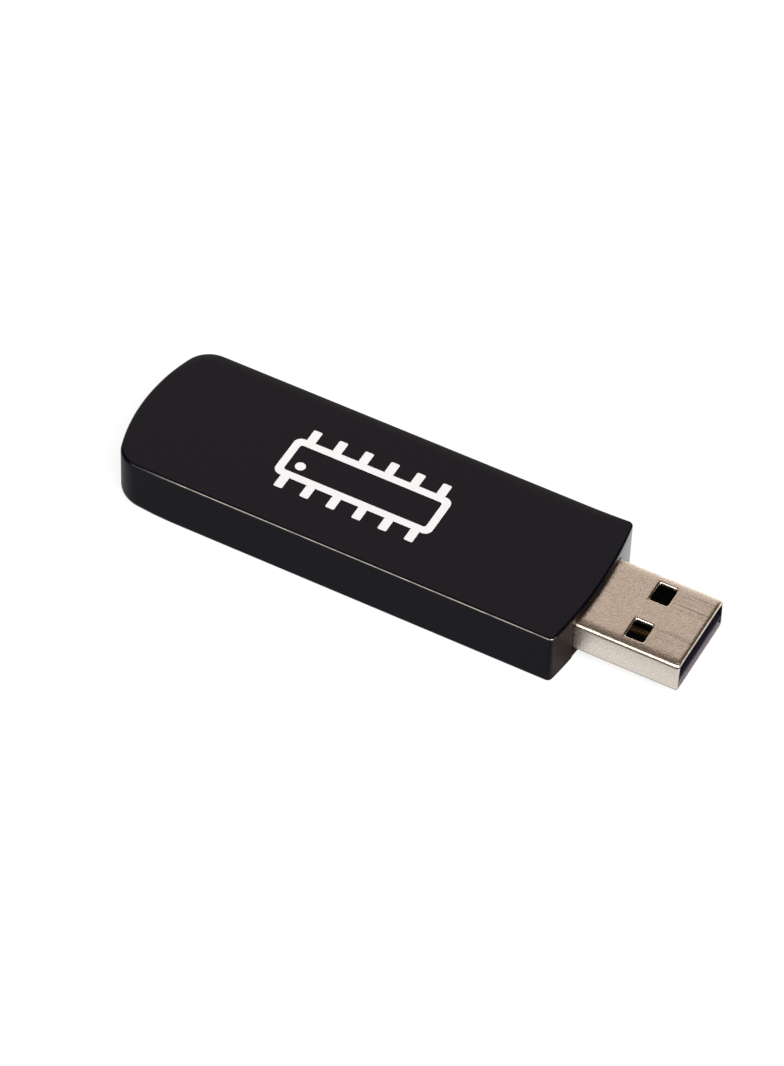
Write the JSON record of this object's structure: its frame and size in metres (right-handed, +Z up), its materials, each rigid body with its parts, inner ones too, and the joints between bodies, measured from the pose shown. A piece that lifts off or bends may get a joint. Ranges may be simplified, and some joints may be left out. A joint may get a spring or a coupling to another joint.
{
  "type": "usb microcontroller programmer",
  "caption": "Stick-format microcontroller programmer: glossy black casing, USB-A plug at the front, in-line target socket at the rear, slide switch and status lights on one side.",
  "frame": {"origin": "under the middle of the whole, on the flat underside of the casing", "axes": "+X along the stick towards the plug's tip, +Y across it towards the switch and the status lights, +Z up through the printed face"},
  "size_m": [0.0742, 0.0212, 0.0075],
  "materials": {
    "casing": "polished black moulding",
    "clear_plastic": "clear moulding",
    "white_plastic": "white moulding",
    "plug_steel": "warm nickel plate with a fine grain",
    "tongue_plastic": "blue-black moulding",
    "gilt": "gold plate",
    "socket_plastic": "black moulding",
    "tinned_steel": "tin plate",
    "board_laminate": "green solder mask",
    "chip_epoxy": "moulded epoxy",
    "fuse_body": "green resin",
    "tantalum_resin": "yellow resin",
    "ceramic": "fired ceramic",
    "tin": "bright tin"
  },
  "bodies": {
    "stick": {"upper_shell": "casing", "base_cover": "casing", "light_pipes": "clear_plastic", "plug_shell": "plug_steel", "plug_tongue": "tongue_plastic", "plug_contact_vbus": "gilt", "plug_contact_d_minus": "gilt", "plug_contact_d_plus": "gilt", "plug_contact_ground": "gilt", "plug_solder": "tin", "circuit_board": "board_laminate", "microcontroller": "chip_epoxy", "microcontroller_leads": "tin", "voltage_regulator": "chip_epoxy", "voltage_regulator_leads": "tin", "memory_chip": "chip_epoxy", "memory_chip_leads": "tin", "level_shifter": "chip_epoxy", "level_shifter_leads": "tin", "surge_protector": "chip_epoxy", "surge_protector_leads": "tin", "supply_transistor": "chip_epoxy", "supply_transistor_leads": "tin", "crystal_base": "ceramic", "crystal_lid": "tinned_steel", "resettable_fuse": "fuse_body", "resettable_fuse_ends": "tin", "tantalum_capacitors": "tantalum_resin", "tantalum_capacitor_straps": "tin", "ceramic_capacitors": "ceramic", "ceramic_capacitor_ends": "tin", "resistors": "chip_epoxy", "resistor_ends": "tin", "status_lights": "white_plastic", "status_light_lenses": "clear_plastic", "target_socket_housing": "socket_plastic", "target_socket_contacts": "gilt", "target_socket_solder": "tin", "switch_base": "socket_plastic", "switch_frame": "tinned_steel", "switch_terminals": "tinned_steel"},
    "power_switch": {"switch_cap": "casing", "switch_actuator": "socket_plastic", "switch_wiper": "gilt"}
  },
  "joints": [
    {"name": "power_switch_slide", "type": "slide", "parent": "stick", "child": "power_switch", "axis": [1, 0, 0], "range_m": [0, 0.0015]}
  ]
}
